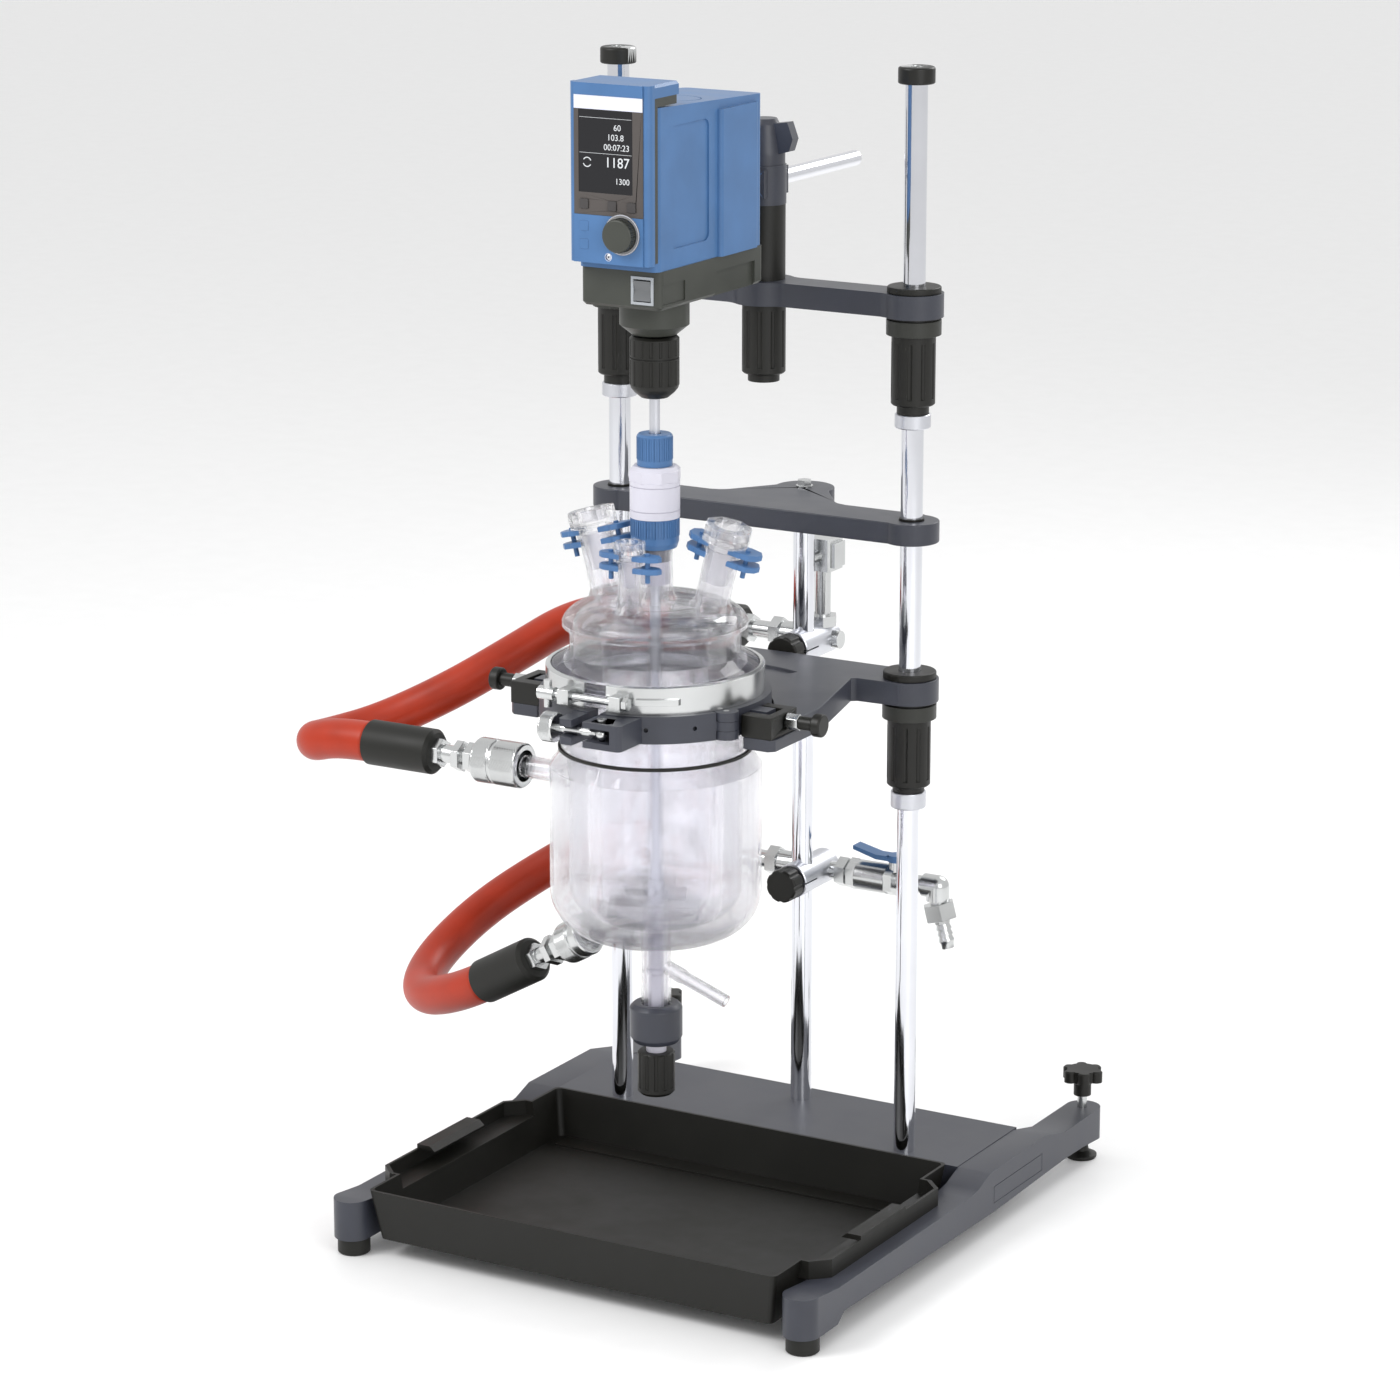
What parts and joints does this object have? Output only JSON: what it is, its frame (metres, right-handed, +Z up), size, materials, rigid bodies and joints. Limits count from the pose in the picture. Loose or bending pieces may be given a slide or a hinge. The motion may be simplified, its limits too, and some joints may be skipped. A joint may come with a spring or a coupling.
{
  "type": "synthesis reactor",
  "caption": "Jacketed glass laboratory reactor on a rod stand with drip tray, overhead stirrer, sliding vessel carrier, hinged holding ring, bottom drain valve and insulated jacket hoses",
  "frame": {"origin": "floor level, in the middle between the four feet", "axes": "+Z up, +Y to the back, +X to the right seen from the front"},
  "size_m": [0.7022, 0.6359, 1.146],
  "materials": {
    "anthracite": "satin powder coat",
    "black": "matte moulded",
    "chrome": "polished",
    "steel": "turned stainless",
    "blue": "satin moulded",
    "grey": "fine texture",
    "taupe": "film overlay",
    "glass": "clear borosilicate",
    "white": "turned fluoropolymer",
    "orange": "smooth silicone jacket",
    "rubber": "matte"
  },
  "bodies": {
    "stand": {"legs": "anthracite", "cross_plate": "anthracite", "feet": "rubber", "rods": "chrome", "caps_and_fasteners": "black", "traverse": "anthracite", "manifold_clamps": "steel", "lower_manifold": "steel", "upper_manifold": "steel"},
    "tray": {"drip_tray": "black"},
    "star_left": {"star_knob_left": "black"},
    "star_right": {"star_knob_right": "black"},
    "lever": {"valve_lever": "blue"},
    "knob_low": {"clamp_knob_lower": "black"},
    "knob_up": {"clamp_knob_upper": "black"},
    "top_carriage": {"top_arm": "anthracite", "top_collars": "black", "column": "grey", "head_housing": "blue", "head_lower": "grey", "head_hood": "blue", "head_panel": "taupe"},
    "grip_tl": {"top_grip_left": "black"},
    "grip_tr": {"top_grip_right": "black"},
    "grip_c": {"column_grip": "black"},
    "wing": {"wing_cap": "grey"},
    "rocker": {"rocker_switch": "grey"},
    "dial": {"control_knob": "grey"},
    "b1": {"button_1": "grey"},
    "b2": {"button_2": "grey"},
    "b3": {"button_3": "grey"},
    "k1": {"key_1": "grey"},
    "k2": {"key_2": "grey"},
    "stirrer": {"chuck": "black", "stirrer_shaft": "steel"},
    "vessel_carriage": {"carrier_plate": "anthracite", "carrier_collars": "black", "holder_blocks": "black", "holder_ring": "anthracite", "glass_vessel": "glass", "glass_lid": "glass", "clamp_band": "steel", "seal_body": "white", "stoppers": "glass", "hose_fittings": "steel", "hose_sleeves": "rubber", "upper_hose": "orange", "lower_hose": "orange"},
    "grip_vl": {"carrier_grip_left": "black"},
    "grip_vr": {"carrier_grip_right": "black"},
    "pl": {"plunger_left": "black"},
    "pr": {"plunger_right": "black"},
    "segment": {"ring_segment": "anthracite"},
    "bolt": {"swing_bolt": "steel"},
    "clamp": {"clamp_screw": "steel"},
    "seal_ring": {"seal_nut": "blue"},
    "cap": {"seal_cap": "blue"},
    "drain_union": {"drain_ring": "grey"},
    "drain_stem": {"drain_spindle": "white"},
    "drain_grip": {"drain_knob": "black"}
  },
  "joints": [
    {"name": "tray_lift", "type": "slide", "parent": "stand", "child": "tray", "axis": [0, 0, 1], "range_m": [0, 0.08]},
    {"name": "star_left_turn", "type": "hinge", "parent": "stand", "child": "star_left", "pos_m": [-0.25, 0.298, 0.08], "axis": [0, 0, 1], "range_deg": [-180, 180]},
    {"name": "star_right_turn", "type": "hinge", "parent": "stand", "child": "star_right", "pos_m": [0.25, 0.298, 0.08], "axis": [0, 0, 1], "range_deg": [-180, 180]},
    {"name": "lever_turn", "type": "hinge", "parent": "stand", "child": "lever", "pos_m": [0.09, 0.186, 0.328], "axis": [0, 0, 1], "range_deg": [-90, 0]},
    {"name": "knob_low_turn", "type": "hinge", "parent": "stand", "child": "knob_low", "pos_m": [0, 0.115, 0.303], "axis": [0, 1, 0], "range_deg": [-180, 180]},
    {"name": "knob_up_turn", "type": "hinge", "parent": "stand", "child": "knob_up", "pos_m": [0, 0.115, 0.5455], "axis": [0, 1, 0], "range_deg": [-180, 180]},
    {"name": "top_slide", "type": "slide", "parent": "stand", "child": "top_carriage", "axis": [0, 0, 1], "range_m": [0, 0.18]},
    {"name": "grip_tl_turn", "type": "hinge", "parent": "top_carriage", "child": "grip_tl", "pos_m": [-0.1635, 0.068, 0.85], "axis": [0, 0, 1], "range_deg": [-180, 180]},
    {"name": "grip_tr_turn", "type": "hinge", "parent": "top_carriage", "child": "grip_tr", "pos_m": [0.1635, 0.068, 0.85], "axis": [0, 0, 1], "range_deg": [-180, 180]},
    {"name": "grip_c_turn", "type": "hinge", "parent": "top_carriage", "child": "grip_c", "pos_m": [0, 0.068, 0.87], "axis": [0, 0, 1], "range_deg": [-180, 180]},
    {"name": "wing_turn", "type": "hinge", "parent": "top_carriage", "child": "wing", "pos_m": [0, 0.068, 1.05], "axis": [0, 0, 1], "range_deg": [-90, 0]},
    {"name": "rocker_tilt", "type": "hinge", "parent": "top_carriage", "child": "rocker", "pos_m": [0.02365, -0.194, 0.9565], "axis": [1, 0, 0], "range_deg": [-8, 8]},
    {"name": "dial_turn", "type": "hinge", "parent": "top_carriage", "child": "dial", "pos_m": [0.0145, -0.228, 1.01], "axis": [0, 1, 0], "continuous": true},
    {"name": "b1_press", "type": "slide", "parent": "top_carriage", "child": "b1", "axis": [0, 1, 0], "range_m": [0, 0.001], "stiffness_N_per_m": 300},
    {"name": "b2_press", "type": "slide", "parent": "top_carriage", "child": "b2", "axis": [0, 1, 0], "range_m": [0, 0.001], "stiffness_N_per_m": 300},
    {"name": "b3_press", "type": "slide", "parent": "top_carriage", "child": "b3", "axis": [0, 1, 0], "range_m": [0, 0.001], "stiffness_N_per_m": 300},
    {"name": "k1_press", "type": "slide", "parent": "top_carriage", "child": "k1", "axis": [0, 1, 0], "range_m": [0, 0.001], "stiffness_N_per_m": 300},
    {"name": "k2_press", "type": "slide", "parent": "top_carriage", "child": "k2", "axis": [0, 1, 0], "range_m": [0, 0.001], "stiffness_N_per_m": 300},
    {"name": "stirrer_spin", "type": "hinge", "parent": "top_carriage", "child": "stirrer", "pos_m": [0, -0.14, 0.88], "axis": [0, 0, 1], "continuous": true},
    {"name": "vessel_slide", "type": "slide", "parent": "stand", "child": "vessel_carriage", "axis": [0, 0, 1], "range_m": [-0.08, 0], "deforming": ["upper_hose", "lower_hose"]},
    {"name": "grip_vl_turn", "type": "hinge", "parent": "vessel_carriage", "child": "grip_vl", "pos_m": [-0.1635, 0.068, 0.47], "axis": [0, 0, 1], "range_deg": [-180, 180]},
    {"name": "grip_vr_turn", "type": "hinge", "parent": "vessel_carriage", "child": "grip_vr", "pos_m": [0.1635, 0.068, 0.47], "axis": [0, 0, 1], "range_deg": [-180, 180]},
    {"name": "pl_pull", "type": "slide", "parent": "vessel_carriage", "child": "pl", "axis": [-1, 0, 0], "range_m": [0, 0.006], "stiffness_N_per_m": 600},
    {"name": "pr_pull", "type": "slide", "parent": "vessel_carriage", "child": "pr", "axis": [1, 0, 0], "range_m": [0, 0.006], "stiffness_N_per_m": 600},
    {"name": "segment_open", "type": "hinge", "parent": "vessel_carriage", "child": "segment", "pos_m": [0.101, -0.181, 0.5526], "axis": [0, 0, 1], "range_deg": [0, 30]},
    {"name": "bolt_swing", "type": "hinge", "parent": "segment", "child": "bolt", "pos_m": [0.02, -0.271, 0.553], "axis": [0, 0, 1], "range_deg": [0, 90]},
    {"name": "clamp_turn", "type": "hinge", "parent": "vessel_carriage", "child": "clamp", "pos_m": [0, -0.249, 0.578], "axis": [1, 0, 0], "range_deg": [-180, 180]},
    {"name": "seal_ring_turn", "type": "hinge", "parent": "vessel_carriage", "child": "seal_ring", "pos_m": [0, -0.14, 0.72], "axis": [0, 0, 1], "range_deg": [-180, 180]},
    {"name": "cap_turn", "type": "hinge", "parent": "vessel_carriage", "child": "cap", "pos_m": [0, -0.14, 0.8], "axis": [0, 0, 1], "range_deg": [-180, 180]},
    {"name": "drain_union_turn", "type": "hinge", "parent": "vessel_carriage", "child": "drain_union", "pos_m": [0, -0.14, 0.23], "axis": [0, 0, 1], "range_deg": [-180, 180]},
    {"name": "drain_stem_drop", "type": "slide", "parent": "vessel_carriage", "child": "drain_stem", "axis": [0, 0, 1], "range_m": [-0.009, 0]},
    {"name": "drain_turn", "type": "hinge", "parent": "drain_stem", "child": "drain_grip", "pos_m": [0, -0.14, 0.18], "axis": [0, 0, 1], "range_deg": [0, 1080]}
  ],
  "couplings": [
    {"joint": "drain_turn", "follows": "drain_stem_drop", "rad_per_m": -2094.4},
    {"joint": "bolt_swing", "follows": "segment_open", "ratio": 3}
  ]
}
